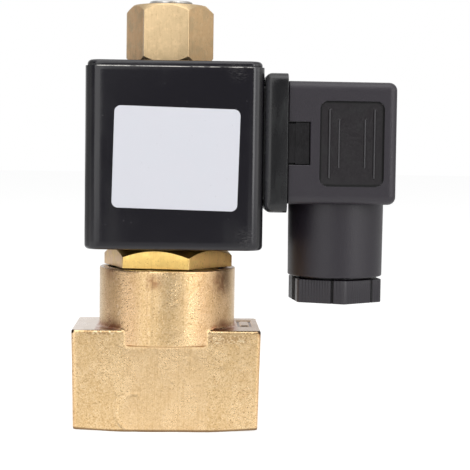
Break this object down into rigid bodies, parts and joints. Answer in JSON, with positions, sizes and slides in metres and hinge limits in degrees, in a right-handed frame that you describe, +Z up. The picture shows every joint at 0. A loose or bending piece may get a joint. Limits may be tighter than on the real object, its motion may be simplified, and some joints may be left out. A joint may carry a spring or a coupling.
{
  "type": "solenoid valve",
  "caption": "Direct-acting brass solenoid valve: forged body with opposed side ports, hexagon base nut, black moulded coil that turns on its tube, and a square cable plug with a gland.",
  "frame": {"origin": "middle of the flat foot of the valve body, on the axis of the guide tube", "axes": "+Z up along the guide tube, +X towards the outlet port and, at rest, the cable plug, +Y away from the label"},
  "size_m": [0.0663, 0.0302, 0.0892],
  "materials": {
    "forged_brass": "sandblasted forging with fine pits",
    "turned_brass": "satin machined",
    "contact_brass": "bright stamped",
    "stainless": "turned",
    "zinc_steel": "zinc plated",
    "tinned_blade": "tinned",
    "copper": "bare and enamelled copper",
    "coil_moulding": "smooth black moulding",
    "plug_moulding": "fine-grained dark grey moulding",
    "bobbin_plastic": "natural nylon",
    "label_face": "plain white film",
    "black_rubber": "nitrile rubber"
  },
  "bodies": {
    "valve": {"valve_body": "forged_brass", "base_nut": "turned_brass", "base_o_ring": "black_rubber", "guide_tube": "stainless", "fixed_core": "stainless", "shading_ring": "copper", "coil_nut": "turned_brass", "return_spring": "stainless"},
    "armature": {"armature": "stainless", "armature_seal": "black_rubber"},
    "coil": {"coil_housing": "coil_moulding", "yoke": "zinc_steel", "bobbin": "bobbin_plastic", "winding": "copper", "label": "label_face", "terminal_base": "coil_moulding", "screw_insert": "contact_brass", "line_blade": "tinned_blade", "neutral_blade": "tinned_blade", "earth_blade": "tinned_blade", "gasket": "black_rubber", "plug_housing": "plug_moulding", "terminal_block": "plug_moulding", "line_socket": "contact_brass", "neutral_socket": "contact_brass", "earth_socket": "contact_brass", "line_clamp_screw": "zinc_steel", "neutral_clamp_screw": "zinc_steel", "earth_clamp_screw": "zinc_steel", "plug_screw": "zinc_steel", "screw_seal": "black_rubber", "gland_nut": "plug_moulding", "gland_washer": "zinc_steel", "gland_grommet": "black_rubber"}
  },
  "joints": [
    {"name": "armature_lift", "type": "slide", "parent": "valve", "child": "armature", "axis": [0, 0, 1], "range_m": [0, 0.0018], "stiffness_N_per_m": 1300, "springref_m": -0.0023, "deforming": ["return_spring"]},
    {"name": "coil_turn", "type": "hinge", "parent": "valve", "child": "coil", "pos_m": [0, 0, 0.0379], "axis": [0, 0, 1], "continuous": true}
  ]
}
